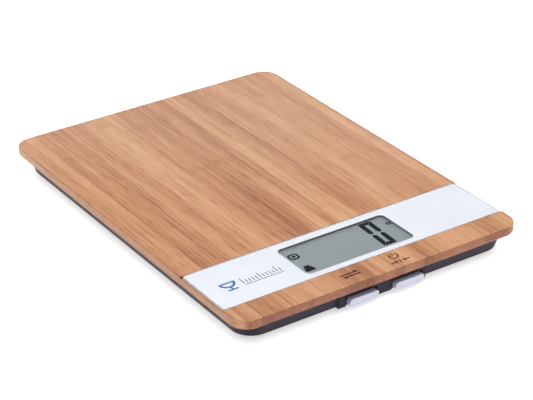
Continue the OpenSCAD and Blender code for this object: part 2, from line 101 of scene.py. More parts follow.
class Sheet:
    """A material's node tree, written like a formula sheet."""

    def __init__(self, name: str) -> None:
        """Starts an empty tree.

        Args:
            name: The material's name.
        """
        self.material = bpy.data.materials.new(name)
        self.material.use_nodes = True
        self.tree = self.material.node_tree
        self.tree.nodes.clear()

    def node(self, kind: str, inputs: Optional[Inputs] = None,
             **settings: object) -> bpy.types.Node:
        """Adds a node.

        Args:
            kind: The node's type, without the ShaderNode at its start.
            inputs: What goes into some of its inputs, by their place or name.
            **settings: The node's own settings.

        Returns:
            The new node.
        """
        made = self.tree.nodes.new("ShaderNode" + kind)
        for key, value in settings.items():
            setattr(made, key, value)
        for key, value in (inputs or {}).items():
            self.feed(made.inputs[key], value)
        return made

    def feed(self, socket: Socket, value: Input) -> None:
        """Links another node's output to a socket, or sets the socket's own value."""
        if isinstance(value, bpy.types.NodeSocket):
            self.tree.links.new(value, socket)
        else:
            socket.default_value = value

    def math(self, operation: str, *values: Input) -> Socket:
        """The result of a Math node's operation on some numbers, in order."""
        return self.node("Math", dict(enumerate(values)), operation=operation).outputs[0]

    def total(self, *terms: tuple[Input, float], start: float = 0.0) -> Socket:
        """Adds weighted terms to a start value."""
        result: Input = start
        for value, weight in terms:
            result = self.math("MULTIPLY_ADD", value, weight, result)
        return result

    def place(self) -> Socket:
        """Position on the piece in millimetres, from Object coordinates."""
        return self.stretch(self.node("TexCoord").outputs["Object"], MM_PER_METRE)

    def stretch(self, vector: Input, factors: Factors) -> Socket:
        """A position multiplied by one factor, or each axis by its own."""
        spread = (factors,) * 3 if isinstance(factors, float) else factors
        return self.node("VectorMath", {0: vector, 1: spread}, operation="MULTIPLY").outputs[0]

    def parts(self, vector: Socket) -> Sequence[Socket]:
        """The three coordinates of a position."""
        return self.node("SeparateXYZ", {0: vector}).outputs

    def joined(self, *coordinates: Input) -> Socket:
        """A position from its three coordinates."""
        return self.node("CombineXYZ", dict(enumerate(coordinates))).outputs[0]

    def noise(self, place: Socket, factors: Factors, detail: float = 2.0,
              roughness: float = 0.5) -> Socket:
        """Soft noise from 0 to 1, with as many blobs in a millimetre as the factors say."""
        return self.node("TexNoise", {"Vector": self.stretch(place, factors), "Scale": 1.0,
                                      "Detail": detail, "Roughness": roughness}).outputs[0]

    def chance(self, seed: Input) -> Socket:
        """One fixed random number from 0 to 1 for each seed."""
        return self.node("TexWhiteNoise", {"W": seed}, noise_dimensions="1D").outputs["Value"]

    def cells(self, place: Socket, factor: float) -> Socket:
        """Distance to the nearest of scattered points, with a factor of them in a millimetre."""
        return self.node("TexVoronoi", {"Vector": self.stretch(place, factor),
                                        "Scale": 1.0}).outputs["Distance"]

    def away(self, value: Input, middle: float) -> Socket:
        """How far a value is from a middle, either way."""
        return self.math("ABSOLUTE", self.math("SUBTRACT", value, middle))

    def fade(self, value: Input, start: float, end: float) -> Socket:
        """A smooth step from 0 at start to 1 at end, which may be the lower of the two."""
        return self.node("MapRange", dict(enumerate((value, start, end, 0.0, 1.0))),
                         interpolation_type="SMOOTHSTEP").outputs[0]

    def span(self, value: Input, low: float, high: float) -> Socket:
        """A value from 0 to 1 spread between two numbers."""
        return self.total((value, high - low), start=low)

    def ramp(self, value: Input, *stops: tuple[float, Sequence[float]]) -> Socket:
        """Colours a value.

        Args:
            value: A number from 0 to 1.
            *stops: Pairs of a place on the ramp and its colour.

        Returns:
            The colour.
        """
        made = self.node("ValToRGB")
        elements = made.color_ramp.elements
        while len(elements) < len(stops):
            elements.new(0.5)
        for element, (place, colour) in zip(elements, stops):
            element.position = place
            element.color = colour
        self.feed(made.inputs[0], value)
        return made.outputs[0]

    def blend(self, share: Input, first: Input, second: Input, mode: str = "MIX") -> Socket:
        """Two colours mixed, with the share of the second from 0 to 1."""
        return self.node("Mix", {0: share, 6: first, 7: second}, data_type="RGBA",
                         blend_type=mode).outputs[2]

    def relief(self, height: Socket, depth: float, strength: float) -> Socket:
        """A bumped normal, where a height of 1 stands for a depth in millimetres."""
        return self.node("Bump", {"Height": height, "Distance": depth * MM,
                                  "Strength": strength}).outputs[0]

    def surface(self, **sockets: Input) -> Socket:
        """The surface shader.

        Args:
            **sockets: Its inputs, with underscores for spaces and all in small letters.

        Returns:
            The shader, already linked to the output.
        """
        shader = self.node("BsdfPrincipled")
        names = {socket.name.lower().replace(" ", "_"): socket for socket in shader.inputs}
        for key, value in sockets.items():
            self.feed(names[key], value)
        self.show(shader.outputs[0])
        return shader.outputs[0]

    def show(self, shader: Socket) -> None:
        """Links a shader to the material's output."""
        outputs = [n for n in self.tree.nodes if n.bl_idname == "ShaderNodeOutputMaterial"]
        output = outputs[0] if outputs else self.node("OutputMaterial")
        self.tree.links.new(shader, output.inputs["Surface"])


# ---- Finishes ---------------------------------------------------------------------------


@dataclass(frozen=True)
class Finish:
    """A surface finish. Each kind writes its own node tree once."""

    name: str

    def write(self, sheet: Sheet) -> None:
        """Writes the finish's node tree.

        Args:
            sheet: The material's empty tree.
        """
        raise NotImplementedError

    def material(self) -> bpy.types.Material:
        """The finish as a material, made the first time that it is asked for."""
        if self.name not in MADE:
            sheet = Sheet(self.name)
            self.write(sheet)
            MADE[self.name] = sheet.material
        return MADE[self.name]


@dataclass(frozen=True)
class BambooFinish(Finish):
    """Lacquered bamboo laminate. Its grain runs along Y all through the board."""

    dark: Colour = linear(122, 76, 51)
    middle: Colour = linear(160, 111, 77)
    light: Colour = linear(181, 139, 104)
    # Pale grey blended onto the far corner as painted sheen, standing in for the lacquer's
    # reflection of the sky.
    bloom_and_painted_sheen: Colour = (0.62, 0.61, 0.60, 1.0)
    strip: float = 5.8
    node_gap: float = 236.0
    seeds: tuple[float, ...] = (0.0, 57.3, 211.7)
    warmth: Colour = (1.0, 0.93, 0.84, 1.0)
    # Tint of the faces towards front and back: the end grain's own darker tone, plus painted shade
    # and painted warm reflection.
    end_grain_tint_and_painted_shade: Colour = (0.63, 0.43, 0.35, 1.0)
    pore_tint: Colour = (0.52, 0.40, 0.38, 1.0)

    def write(self, sheet: Sheet) -> None:
        """Writes the laminate's colour, a painted sheen on its far corner, its end grain partly as
        painted shade, and its relief.
        """
        place = sheet.place()
        x, y, z = sheet.parts(place)
        sway = sheet.noise(place, (0.02, 0.011, 0.02), 1.0)
        across = sheet.total((sway, 1.6), (x, 1.0))
        fibre = sheet.noise(sheet.joined(across, y, z), (1.35, 0.022, 1.35), 3.0, 0.68)
        vessel = sheet.fade(sheet.noise(place, (3.0, 0.085, 3.0), 1.0), 0.56, 0.68)
        seam_place = sheet.math("FRACT", sheet.math("DIVIDE", across, self.strip))
        from_seam = sheet.math("SUBTRACT", 0.5, sheet.away(seam_place, 0.5))
        seam = sheet.fade(from_seam, 0.05, 0.0)
        figure = self.figure(sheet, across, y, z)
        level = sheet.total((figure, 1.0), (fibre, 1.0), (vessel, -0.20), (seam, -0.08))
        wood = sheet.ramp(level, (0.12, self.dark), (0.5, self.middle), (0.88, self.light))
        warm = sheet.fade(sheet.noise(place, (0.03, 0.01, 0.03), 1.0), 0.35, 0.7)
        wood = sheet.blend(sheet.span(warm, 0.0, 0.35), wood, self.warmth, "MULTIPLY")
        # Painted sheen: the wood pales towards the far corner, as if the lacquer reflected the
        # bright sky.
        far = sheet.fade(sheet.total((x, 0.8), (y, 0.9)), -60.0, 100.0)
        wood = sheet.blend(sheet.span(far, 0.0, 0.08), wood, self.bloom_and_painted_sheen)
        # Faces towards front and back take the end-grain tint, which also holds painted shade and
        # painted warm reflection.
        facing = sheet.parts(sheet.node("TexCoord").outputs["Normal"])[1]
        end_grain = sheet.fade(sheet.math("ABSOLUTE", facing), 0.72, 0.95)
        pores = sheet.fade(sheet.noise(place, (1.7, 1.7, 0.55), 2.0, 0.7), 0.42, 0.62)
        end_grain_tone_and_painted_shade = sheet.blend(sheet.span(pores, 0.0, 0.4), self.end_grain_tint_and_painted_shade, self.pore_tint)
        wood = sheet.blend(end_grain, wood, sheet.blend(1.0, wood, end_grain_tone_and_painted_shade, "MULTIPLY"))
        sheet.surface(
            base_color=wood, roughness=sheet.span(fibre, 0.40, 0.62),
            specular_ior_level=0.36, coat_weight=0.10, coat_roughness=0.32,
            normal=sheet.relief(sheet.total((fibre, 0.7), (vessel, -0.5), (seam, -0.6), start=0.5),
                                0.03, 0.45))

    def figure(self, sheet: Sheet, across: Socket, along: Socket, deep: Socket) -> Socket:
        """The laminate's figure: strips, bands, streaks and speckled knuckles.

        Args:
            sheet: The sheet to write on.
            across: Place across the grain, with a little sway.
            along: Place along the grain.
            deep: Place through the board.

        Returns:
            How pale the wood is.
        """
        grain, place = sheet.joined(across, along, deep), sheet.place()
        count = sheet.math("FLOOR", sheet.math("DIVIDE", across, self.strip))
        tone, shift, dark = (sheet.chance(sheet.math("ADD", count, seed)) for seed in self.seeds)
        dark_strip = sheet.fade(dark, 0.80, 0.90)
        bands = sheet.noise(grain, (0.075, 0.0035, 0.0), 1.5)
        flow = sheet.noise(grain, (0.42, 0.012, 1.0), 2.0)
        streak = sheet.fade(sheet.noise(place, (1.7, 0.05, 1.7), 2.0, 0.6), 0.53, 0.70)
        speck = sheet.fade(sheet.noise(place, (1.3, 0.55, 1.3), 3.0, 0.75), 0.60, 0.76)
        cane = sheet.math("MODULO", sheet.total((shift, self.node_gap), (along, 1.0),
                                                start=4 * self.node_gap), self.node_gap)
        from_knuckle = sheet.away(cane, self.node_gap / 2)
        knuckle, rim = sheet.fade(from_knuckle, 5.0, 0.6), sheet.fade(from_knuckle, 2.4, 1.0)
        near = sheet.span(sheet.fade(from_knuckle, 3.0, 16.0), 1.0, 0.25)
        return sheet.total(
            (tone, 0.36), (bands, 0.85), (flow, 0.50), (streak, -0.26),
            (sheet.math("MULTIPLY", speck, near), -0.24), (knuckle, -0.03), (rim, -0.03),
            (dark_strip, -0.19), start=-0.695)


@dataclass(frozen=True)
class MouldedFinish(Finish):
    """Moulded plastic with a spark-eroded texture."""

    colour: Colour = linear(30, 21, 34)
    pale_tone: Colour = linear(48, 38, 52)
    roughness: float = 0.48
    grain: float = 3.2
    depth: float = 0.02

    def write(self, sheet: Sheet) -> None:
        """Writes the colour's faint drift, the eroded texture and the paler edges."""
        place = sheet.place()
        drift = sheet.noise(place, 0.035, 2.0)
        pits = sheet.noise(place, self.grain, 3.0, 0.65)
        fine = sheet.cells(place, self.grain * 1.7)
        # Pointiness makes the convex edges paler.
        edge = sheet.fade(sheet.node("NewGeometry").outputs["Pointiness"], 0.53, 0.62)
        shade = sheet.total((drift, 0.30), (pits, 0.22), (edge, 0.35), start=-0.05)
        height = sheet.total((pits, 0.7), (fine, 0.4))
        sheet.surface(
            base_color=sheet.ramp(shade, (0.0, self.colour), (1.0, self.pale_tone)),
            roughness=sheet.span(pits, self.roughness - 0.06, self.roughness + 0.10),
            specular_ior_level=0.16, normal=sheet.relief(height, self.depth, 0.6))


@dataclass(frozen=True)
class SatinFinish(Finish):
    """Smooth plastic with a painted or polished face, and faint handling marks."""

    colour: Colour = linear(204, 207, 215)
    shade: Colour = linear(199, 202, 210)
    roughness: float = 0.30
    coat: float = 0.3
    ripple: float = 0.35

    def write(self, sheet: Sheet) -> None:
        """Writes a soft ripple, faint rub marks and a drift of the colour."""
        place = sheet.place()
        drift = sheet.noise(place, 0.04, 1.0)
        ripple = sheet.noise(place, self.ripple, 2.0)
        rubs = sheet.noise(place, (0.12, 2.4, 0.6), 3.0, 0.7)
        fleck = sheet.noise(place, 7.0, 1.0)
        sheet.surface(
            base_color=sheet.ramp(sheet.total((drift, 0.7), (fleck, 0.3)),
                                  (0.25, self.shade), (0.75, self.colour)),
            roughness=sheet.span(rubs, self.roughness - 0.05, self.roughness + 0.10),
            coat_weight=self.coat, coat_roughness=0.12,
            normal=sheet.relief(sheet.total((ripple, 0.8), (fleck, 0.15)), 0.01, 0.35))


@dataclass(frozen=True)
class LensFinish(Finish):
    """A clear acrylic window, which lets the lamps through to what is under it."""

    tint: Colour = (0.985, 0.985, 0.985, 1.0)

    def write(self, sheet: Sheet) -> None:
        """Writes glass for the eye, clear for the lamps, with a trace of a wipe mark."""
        smear = sheet.noise(sheet.place(), (0.08, 0.5, 1.0), 2.0)
        glass = sheet.surface(
            base_color=self.tint, transmission_weight=1.0, ior=1.45, specular_ior_level=0.12,
            roughness=sheet.span(smear, 0.0, 0.03))
        clear = sheet.node("BsdfTransparent", {0: self.tint}).outputs[0]
        shadow_ray = sheet.node("LightPath").outputs["Is Shadow Ray"]
        sheet.show(sheet.node("MixShader", {0: shadow_ray, 1: glass, 2: clear}).outputs[0])


@dataclass(frozen=True)
class DisplayFinish(Finish):
    """The grey-green face of a reflective liquid crystal display."""

    bright: Colour = linear(121, 130, 132)
    dull: Colour = linear(115, 124, 126)
    shadow: Colour = linear(48, 56, 58)
    shadow_share: float = 0.62
    back_edge: tuple[float, float] = (-70.1, -64.1)
    right_edge: tuple[float, float] = (28.0, 33.5)
    falloff: float = 1.6

    def write(self, sheet: Sheet) -> None:
        """Writes the reflector's grain, a slow drift of the tone and the window's soft shade."""
        place = sheet.place()
        x, y, _ = sheet.parts(place)
        drift = sheet.noise(place, (0.03, 0.05, 0.03), 1.0)
        foil = sheet.noise(place, (5.0, 0.9, 5.0), 2.0)
        tone = sheet.ramp(sheet.total((drift, 0.75), (foil, 0.25)),
                          (0.3, self.dull), (0.7, self.bright))
        near_back, near_right = (
            sheet.math("POWER", sheet.fade(value, *edge), self.falloff)
            for value, edge in ((y, self.back_edge), (x, self.right_edge)))
        edge = sheet.math("MAXIMUM", near_back, sheet.math("MULTIPLY", near_right, 0.7))
        sheet.surface(
            base_color=sheet.blend(sheet.span(edge, 0.0, self.shadow_share), tone, self.shadow),
            roughness=sheet.span(foil, 0.42, 0.58), specular_ior_level=0.3,
            normal=sheet.relief(foil, 0.004, 0.3))


@dataclass(frozen=True)
class InkFinish(Finish):
    """Printed or switched-on marks, with a slightly uneven cover."""

    colour: Colour
    thin: Colour
    roughness: float
    grain: float
    gloss: float

    def write(self, sheet: Sheet) -> None:
        """Writes the ink's cover."""
        cover = sheet.noise(sheet.place(), self.grain, 3.0, 0.7)
        sheet.surface(base_color=sheet.ramp(cover, (0.35, self.colour), (0.75, self.thin)),
                      roughness=sheet.span(cover, self.roughness, self.roughness + 0.12),
                      specular_ior_level=self.gloss)


@dataclass(frozen=True)
class RubberFinish(Finish):
    """Matt rubber with a fine pebbled skin."""

    colour: Colour = linear(44, 44, 47)
    dust: Colour = linear(78, 76, 76)
    roughness: float = 0.82

    def write(self, sheet: Sheet) -> None:
        """Writes the pebbled skin with dust in its hollows."""
        place = sheet.place()
        pebble = sheet.cells(place, 2.6)
        bloom_and_painted_sheen = sheet.noise(place, 0.25, 3.0, 0.6)
        sheet.surface(
            base_color=sheet.ramp(sheet.total((pebble, 0.35), (bloom_and_painted_sheen, 0.5)),
                                  (0.25, self.colour), (0.85, self.dust)),
            roughness=sheet.span(bloom_and_painted_sheen, self.roughness - 0.06, self.roughness + 0.06),
            specular_ior_level=0.3, sheen_weight=0.12, sheen_roughness=0.5,
            normal=sheet.relief(pebble, 0.03, 0.5))


class Brushing(Enum):
    """Which way a metal's fine lines run."""

    ALONG_X = (0.08, 6.0, 6.0)
    ALONG_Y = (6.0, 0.08, 6.0)
    TURNED = (1.8, 1.8, 1.8)


@dataclass(frozen=True)
class MetalFinish(Finish):
    """Plain or plated metal with fine lines and a little tarnish."""

    colour: Colour
    stain: Colour
    roughness: float
    brushing: Brushing = Brushing.ALONG_X

    def write(self, sheet: Sheet) -> None:
        """Writes the lines, the tarnish and small scratches."""
        place = sheet.place()
        lines = sheet.noise(place, self.brushing.value, 3.0, 0.6)
        tarnish = sheet.noise(place, 0.3, 3.0, 0.6)
        sheet.surface(
            base_color=sheet.ramp(sheet.total((tarnish, 0.7), (lines, 0.3)),
                                  (0.3, self.stain), (0.65, self.colour)),
            metallic=1.0, roughness=sheet.span(lines, self.roughness - 0.07, self.roughness + 0.12),
            normal=sheet.relief(lines, 0.004, 0.5))


@dataclass(frozen=True)
class CircuitFinish(Finish):
    """Green solder mask over copper tracks on glass cloth."""

    mask: Colour = linear(24, 92, 58)
    track: Colour = linear(40, 124, 76)
    pitch: float = 2.54

    def write(self, sheet: Sheet) -> None:
        """Writes the tracks that show through the mask, and the cloth's weave."""
        place = sheet.place()
        x, y, _ = sheet.parts(place)
        steps = sheet.noise(place, (0.09, 0.14, 0.0), 0.0)
        lane = sheet.math("FRACT", sheet.total((x, 0.5 / self.pitch), (y, 1 / self.pitch),
                                               (steps, 5.0)))
        track = sheet.fade(sheet.away(lane, 0.5), 0.22, 0.18)
        weave = sheet.math("MULTIPLY", sheet.math("SINE", sheet.math("MULTIPLY", x, 9.0)),
                           sheet.math("SINE", sheet.math("MULTIPLY", y, 9.0)))
        sheet.surface(
            base_color=sheet.blend(track, self.mask, self.track),
            roughness=sheet.span(track, 0.38, 0.28), specular_ior_level=0.5,
            normal=sheet.relief(sheet.total((track, 0.8), (weave, 0.08)), 0.03, 0.5))


BAMBOO = BambooFinish("bamboo")
STRIP_WHITE = SatinFinish("strip_white")
BUTTON_SILVER = SatinFinish("button_silver", linear(175, 178, 197), linear(166, 168, 187),
                            0.30, 0.5, 0.6)
LENS = LensFinish("window_acrylic")
DISPLAY_FACE = DisplayFinish("display_face")
DISPLAY_BACK = DisplayFinish("display_back", linear(120, 128, 126), linear(104, 112, 110))
TRAY_PLASTIC = MouldedFinish("tray_plastic")
DOOR_PLASTIC = MouldedFinish("door_plastic", linear(38, 32, 43), linear(62, 55, 67), 0.50, 3.6)
INNER_PLASTIC = MouldedFinish("inner_plastic", linear(64, 65, 70), linear(96, 97, 102), 0.55, 2.4)
CHIP_PLASTIC = MouldedFinish("chip_plastic", linear(30, 30, 33), linear(58, 58, 62), 0.6, 5.0)
SEGMENT_INK = InkFinish("segment_dark", linear(4, 5, 5), linear(8, 10, 10), 0.7, 2.5, 0.0)
WOOD_INK = InkFinish("brown_print", linear(44, 25, 16), linear(72, 43, 29), 0.55, 3.5, 0.15)
STRIP_INK = InkFinish("slate_print", linear(44, 50, 62), linear(62, 68, 80), 0.4, 3.0, 0.1)
STRIP_BLUE = InkFinish("blue_print", linear(22, 84, 138), linear(40, 104, 156), 0.4, 3.0, 0.1)
FOOT_RUBBER = RubberFinish("foot_rubber")
CONTACT_RUBBER = RubberFinish("contact_rubber", linear(30, 30, 32), linear(52, 52, 54), 0.7)
SCREW_STEEL = MetalFinish("screw_steel", linear(186, 187, 190), linear(132, 130, 128),
                          0.32, Brushing.TURNED)
PLATE_STEEL = MetalFinish("plate_steel", linear(196, 198, 202), linear(150, 150, 152),
                          0.34, Brushing.ALONG_Y)
CAN_METAL = MetalFinish("can_metal", linear(214, 215, 216), linear(176, 174, 170),
                        0.24, Brushing.TURNED)
CONTACT_PLATE = MetalFinish("contact_plate", linear(214, 200, 160), linear(170, 146, 98), 0.28)
CIRCUIT = CircuitFinish("circuit_green")
WIRE_RED = SatinFinish("wire_red", linear(176, 34, 30), linear(150, 26, 24), 0.45, 0.1)


# ---- Work on meshes ---------------------------------------------------------------------


def mm_box(node: str) -> tuple[Vector, Vector]:
    """The lowest and highest corners of a CAD node, in millimetres."""
    low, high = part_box(node)
    return low * MM_PER_METRE, high * MM_PER_METRE


def linked(name: str, data: bpy.types.ID) -> bpy.types.Object:
    """A new object in the scene, made from its data."""
    made = bpy.data.objects.new(name, data)
    bpy.context.scene.collection.objects.link(made)
    return made


def is_at(value: float, *goals: float) -> bool:
    """True where a value is at one of some goals, to a hundredth of a millimetre."""
    return any(abs(value - goal) < NEAR for goal in goals)


def is_level(edge: BMEdge) -> bool:
    """True for an edge whose two ends are at the same height."""
    return is_at(edge.verts[0].co.z, edge.verts[1].co.z)


def body_of(node: str) -> str:
    """The body that a CAD node rides on."""
    bodies = frame["record"]["behaviour"]["bodies"]
    return next(body for body, nodes in bodies.items() if node in nodes)


def slot_of(node: str) -> str:
    """The record's material slot of a CAD node."""
    return next(row["material_slot"] for row in frame["record"]["subparts"] if row["node"] == node)


class Workpiece:
    """A mesh in the making, in millimetres."""

    def __init__(self) -> None:
        """Starts with nothing."""
        self.mesh = bmesh.new()

    @classmethod
    def from_node(cls, node: str) -> "Workpiece":
        """Takes a copy of a CAD node and makes its loose triangles into whole faces.

        Args:
            node: The node's name.

        Returns:
            The copy.
        """
        piece = cls()
        piece.mesh.from_mesh(frame["nodes"][node].data)
        bmesh.ops.scale(piece.mesh, vec=(MM_PER_METRE,) * 3, verts=piece.mesh.verts)
        bmesh.ops.remove_doubles(piece.mesh, verts=piece.mesh.verts, dist=0.002)
        bmesh.ops.dissolve_limit(piece.mesh, angle_limit=math.radians(0.5),
                                 verts=piece.mesh.verts, edges=piece.mesh.edges)
        return piece

    def arcs(self, geom: Sequence[Union[BMVert, BMEdge]], width: float, steps: int,
             affect: str = "VERTICES", **settings: bool) -> dict:
        """Puts arcs at corners or along edges."""
        return bmesh.ops.bevel(self.mesh, geom=geom, offset=width, offset_type="OFFSET",
                               segments=steps, profile=0.5, affect=affect, material=-1, **settings)

    def loop(self, width: float, length: float, radius: float, middle: Sequence[float],
             steps: int) -> list[BMEdge]:
        """Draws a flat rounded rectangle.

        Args:
            width: Size along X.
            length: Size along Y.
            radius: Radius of the corners.
            middle: Its middle.
            steps: Steps in each corner.

        Returns:
            Its edges, with no face between them.
        """
        corners = bmesh.ops.create_grid(self.mesh, x_segments=1, y_segments=1, size=0.5)["verts"]
        bmesh.ops.scale(self.mesh, vec=(width, length, 1), verts=corners)
        bmesh.ops.translate(self.mesh, vec=middle, verts=corners)
        face = next(f for f in self.arcs(corners, radius, steps)["verts"][0].link_faces)
        edges = list(face.edges)
        bmesh.ops.delete(self.mesh, geom=[face], context="FACES_ONLY")
        return edges

    def raise_faces(self, faces: Iterable[BMFace], shift: Sequence[float]) -> None:
        """Makes flat faces into solids.

        Args:
            faces: The faces, which stay where they are.
            shift: How far their copies move.
        """
        made = bmesh.ops.extrude_face_region(self.mesh, geom=list(faces), use_keep_orig=True)
        moved = [g for g in made["geom"] if isinstance(g, BMVert)]
        bmesh.ops.translate(self.mesh, vec=shift, verts=moved)
        bmesh.ops.recalc_face_normals(self.mesh, faces=self.mesh.faces)

    def sharp(self, test: Optional[EdgeTest], angle: float) -> list[BMEdge]:
        """Finds sharp edges.

        Args:
            test: Picks among the edges, or None for all of them.
            angle: The turn in degrees past which an edge is sharp.

        Returns:
            The edges.
        """
        self.mesh.normal_update()
        limit = math.radians(angle)
        return [e for e in self.mesh.edges if len(e.link_faces) == 2
                and e.calc_face_angle(0.0) > limit and (test is None or test(e))]

    def soften(self, width: float, steps: int = 2, test: Optional[EdgeTest] = None,
               angle: float = 30.0, clamp: bool = True) -> None:
        """Rounds sharp edges.

        Args:
            width: How far the rounding reaches on each face.
            steps: Steps in the rounding.
            test: Picks among the sharp edges, or None for all of them.
            angle: The turn in degrees past which an edge is sharp.
            clamp: True to keep the roundings from running past each other.
        """
        edges = self.sharp(test, angle)
        if edges:
            self.arcs(edges, width, steps, "EDGES", clamp_overlap=clamp, loop_slide=True)

    def cut_opening(self, level: float, low: Vector, high: Vector) -> list[BMEdge]:
        """Cuts a rectangle out of the level faces at one height.

        Args:
            level: The height of the faces.
            low: The opening's lowest corner.
            high: Its highest corner.

        Returns:
            The opening's edges.
        """
        def level_faces() -> list[BMFace]:
            """The level faces at that height."""
            return [f for f in self.mesh.faces
                    if abs(f.normal.z) > 0.99 and is_at(f.calc_center_median().z, level)]

        for normal in ((1, 0, 0), (0, 1, 0)):
            for point in (low, high):
                faces = level_faces()
                edges = {e for f in faces for e in f.edges}
                verts = {v for f in faces for v in f.verts}
                bmesh.ops.bisect_plane(self.mesh, geom=[*faces, *edges, *verts], dist=1e-4,
                                       plane_co=point, plane_no=normal)
        inner = next(f for f in level_faces() if low.x < f.calc_center_median().x < high.x
                     and low.y < f.calc_center_median().y < high.y)
        rim = list(inner.edges)
        bmesh.ops.delete(self.mesh, geom=[inner], context="FACES_ONLY")
        return rim

    def deliver(self, name: str, finish: Finish, body: str, slot: str,
                stands_for: Sequence[str] = ()) -> None:
        """Makes the mesh a finished piece that rides on its body.

        Args:
            name: The piece's name.
            finish: Its finish.
            body: The body that it rides on.
            slot: The record's slot that its finish belongs to; not used.
            stands_for: The CAD nodes that it replaces.
        """
        bmesh.ops.scale(self.mesh, vec=(MM,) * 3, verts=self.mesh.verts)
        data = bpy.data.meshes.new(name)
        self.mesh.to_mesh(data)
        self.mesh.free()
        data.materials.append(finish.material())
        data.shade_smooth()
        data.set_sharp_from_angle(angle=SHARP_ANGLE)
        piece = linked(name, data)
        weighted = piece.modifiers.new("even_shading", "WEIGHTED_NORMAL")
        weighted.keep_sharp = True
        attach(piece, body)
        if stands_for:
            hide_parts(*stands_for)
        LOG.info("%s: %d faces, rides on %s", name, len(data.polygons), body)


class Marks(Workpiece):
    """Flat marks of one ink layer between two heights."""

    def __init__(self, bottom: float, top: float) -> None:
        """Starts with no marks, between the ink's underside and its upper face."""
        super().__init__()
        self.bottom, self.top = bottom, top

    def shape(self, points: Sequence[tuple[float, float]], rounding: float = 0.0) -> None:
        """Draws a filled outline.

        Args:
            points: Its corners, in order.
            rounding: Radius of each corner.
        """
        corners = [self.mesh.verts.new((x, y, self.bottom)) for x, y in points]
        self.mesh.faces.new(corners)
        if rounding:
            self.arcs(corners, rounding, 3)

    def bar(self, x: float, y: float, width: float, length: float, rounding: float = 0.0) -> None:
        """Draws a filled rectangle round a middle."""
        half_w, half_l = width / 2, length / 2
        self.shape([(x - half_w, y - half_l), (x + half_w, y - half_l),
                    (x + half_w, y + half_l), (x - half_w, y + half_l)], rounding)

    def disc(self, x: float, y: float, radius: float) -> None:
        """Draws a filled circle."""
        bmesh.ops.create_circle(self.mesh, cap_ends=True, segments=32, radius=radius,
                                matrix=Matrix.Translation((x, y, self.bottom)))

    def arc(self, x: float, y: float, radius: float, stroke: float, start: float,
            sweep: float) -> None:
        """Draws an arc as a stroke.

        Args:
            x: The middle's X.
            y: The middle's Y.
            radius: Radius of the stroke's middle line.
            stroke: The stroke's width.
            start: Where it starts, in degrees from X towards Y.
            sweep: How far it goes on, in degrees.
        """
        angle = math.radians(start)
        way = Vector((math.cos(angle), math.sin(angle), 0))
        middle = Vector((x, y, self.bottom))
        ends = [self.mesh.verts.new(middle + way * reach)
                for reach in (radius - stroke / 2, radius + stroke / 2)]
        edge = self.mesh.edges.new(ends)
        bmesh.ops.spin(self.mesh, geom=[*ends, edge], cent=middle, axis=(0, 0, 1),
                       angle=math.radians(sweep), steps=int(sweep / 9))

    def outline(self, x: float, y: float, width: float, length: float, radius: float,
                stroke: float) -> None:
        """Draws a rounded rectangle as a stroke inside its size.

        Args:
            x: The middle's X.
            y: The middle's Y.
            width: Size along X.
            length: Size along Y.
            radius: Radius of the corners.
            stroke: The stroke's width.
        """
        rim = self.loop(width, length, radius, (x, y, self.bottom), 5)
        hole = self.loop(width - 2 * stroke, length - 2 * stroke, max(radius - stroke, 0.1),
                         (x, y, self.bottom), 5)
        bmesh.ops.bridge_loops(self.mesh, edges=rim + hole)

    def ink(self, name: str, finish: Finish, slot: str) -> None:
        """Gives the marks their thickness and delivers them on the platform."""
        self.raise_faces(self.mesh.faces, (0, 0, self.top - self.bottom))
        self.deliver(name, finish, "platform", slot)


# ---- Sub-assemblies ---------------------------------------------------------------------


@dataclass
class WeighingBoard:
    """The bamboo board, with the groove and the opening for the display."""

    corner_radius: float = 9.5
    edge_radius: float = 0.8
    groove_edge: float = 0.14
    groove_gap: float = 0.1
    frame_gap: float = 0.2
    print_room: float = 0.02

    def build(self) -> None:
        """Extrudes the board's side outline, cuts the display's opening and rounds it."""
        low, high = mm_box("bamboo_board")
        film_low, film_high = mm_box("window_film")
        top = high.z - self.print_room
        front, back = film_low.y - self.groove_gap, film_high.y + self.groove_gap
        piece = Workpiece()
        profile = ((low.y, low.z), (high.y, low.z), (high.y, top), (back, top),
                   (back, film_low.z), (front, film_low.z), (front, top), (low.y, top))
        side = piece.mesh.faces.new([piece.mesh.verts.new((low.x, y, z)) for y, z in profile])
        piece.raise_faces([side], (high.x - low.x, 0, 0))
        opening_low, opening_high = mm_box("lcd_frame")
        margin = Vector((self.frame_gap,) * 3)
        rims = [piece.cut_opening(level, opening_low - margin, opening_high + margin)
                for level in (film_low.z, low.z)]
        bmesh.ops.bridge_loops(piece.mesh, edges=rims[0] + rims[1])
        bmesh.ops.recalc_face_normals(piece.mesh, faces=piece.mesh.faces)

        def on_corner(edge: BMEdge) -> bool:
            """True for the upright edges at the board's four corners."""
            ends = [v.co for v in edge.verts]
            return abs(ends[0].z - ends[1].z) > 1 and all(
                is_at(c.x, low.x, high.x) and is_at(c.y, low.y, high.y) for c in ends)

        def on_rim(edge: BMEdge) -> bool:
            """True for the board's outer upper and lower edges."""
            heights = [v.co.z for v in edge.verts]
            level = any(all(is_at(h, goal) for h in heights) for goal in (top, low.z))
            wall = next((f for f in edge.link_faces if abs(f.normal.z) < 0.5), None)
            if not level or wall is None:
                return False
            x, y, _ = wall.calc_center_median()
            outer = abs(x) > high.x - self.corner_radius or abs(y) > high.y - self.corner_radius
            return outer and wall.normal.dot(Vector((x, y, 0))) > 0

        def on_groove(edge: BMEdge) -> bool:
            """True for the two long upper edges of the groove."""
            return all(is_at(v.co.z, top) and is_at(v.co.y, front, back) for v in edge.verts)

        piece.soften(self.corner_radius, 14, on_corner)
        piece.soften(self.edge_radius, 5, on_rim)
        piece.soften(self.groove_edge, 2, on_groove)
        piece.deliver("weighing_board", BAMBOO, "platform", "bamboo", ["bamboo_board"])


